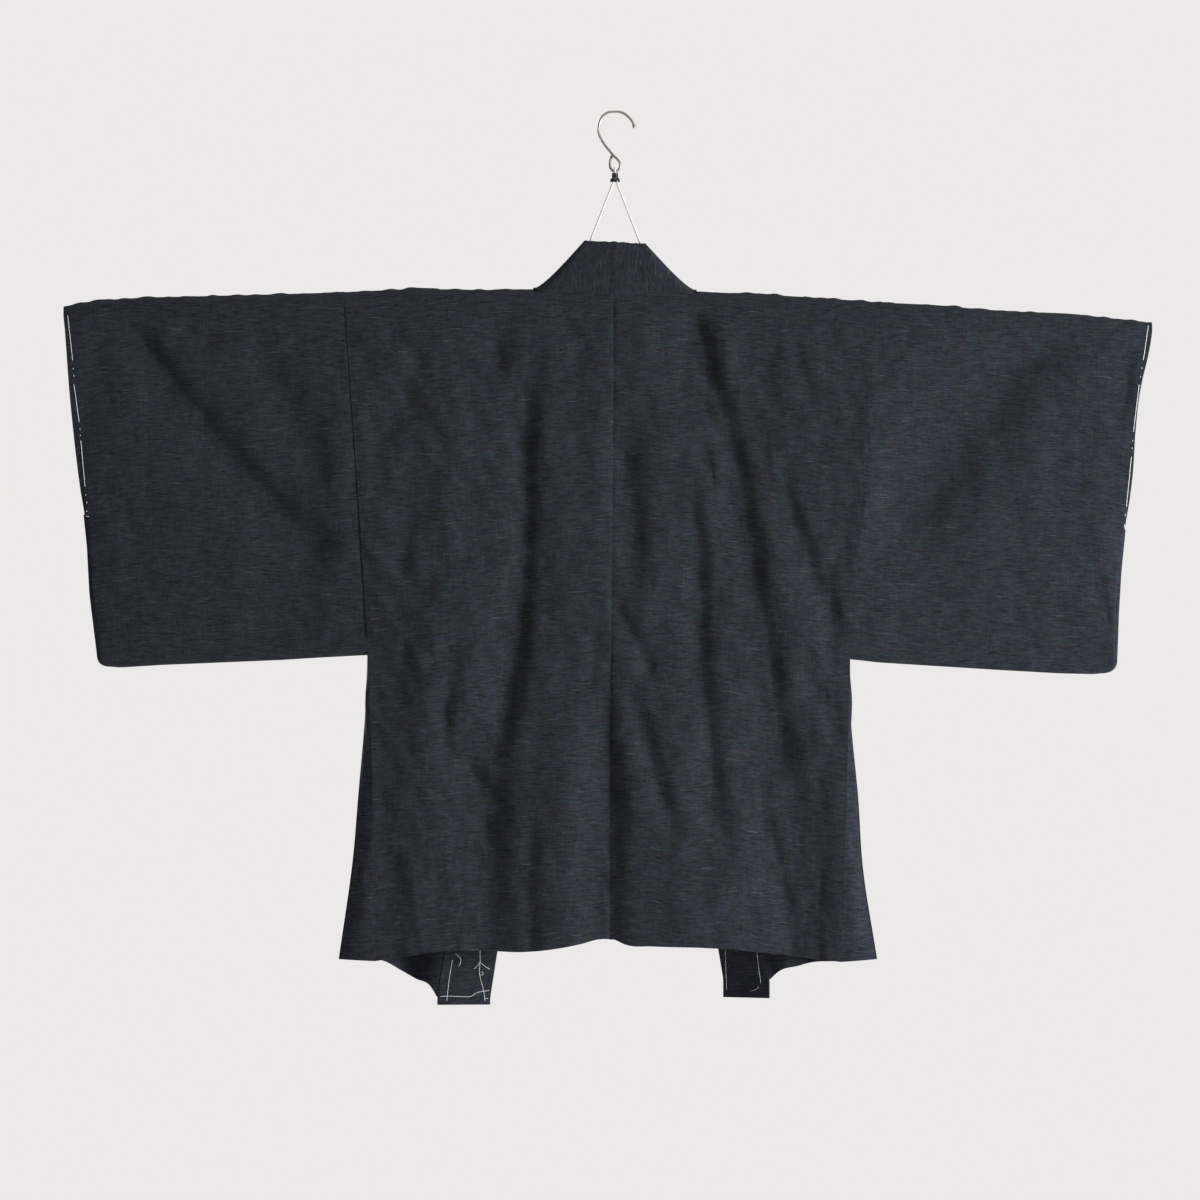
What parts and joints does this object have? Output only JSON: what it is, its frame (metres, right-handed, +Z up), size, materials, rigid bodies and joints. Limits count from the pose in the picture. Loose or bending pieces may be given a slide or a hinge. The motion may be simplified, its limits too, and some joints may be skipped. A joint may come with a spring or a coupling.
{
  "type": "haori jacket on a kimono hanger",
  "caption": "Straight-cut haori jacket with square sleeves and an open front, hung on a rod hanger that carries it by a cord and a bent wire hook.",
  "frame": {"origin": "the point under the crown of the hook's arc, where it bears on a rail", "axes": "+Z up, -Y towards the jacket's front, +X towards the wearer's left sleeve"},
  "size_m": [1.3073, 0.0883, 1.0759],
  "materials": {
    "body_silk": "slub silk, plain weave, charcoal with pale weft flecks",
    "sleeve_silk": "slub silk, plain weave, charcoal with pale weft flecks",
    "gusset_silk": "slub silk, plain weave",
    "collar_silk": "slub silk, folded band",
    "loop_cord": "corded silk",
    "rod": "dark lacquer",
    "cord": "twisted cotton cord",
    "ferrule": "black plastic",
    "hook_steel": "bright steel wire"
  },
  "bodies": {
    "root": {"body_left": "body_silk", "body_right": "body_silk", "sleeve_left": "sleeve_silk", "sleeve_right": "sleeve_silk", "gusset_left": "gusset_silk", "gusset_right": "gusset_silk", "collar": "collar_silk", "himo_loop_left": "loop_cord", "himo_loop_right": "loop_cord", "hanger_arm_left": "rod", "hanger_arm_right": "rod", "hanger_hub": "rod", "hanger_cord": "cord", "cord_ferrule": "ferrule", "hook": "hook_steel"}
  },
  "joints": []
}
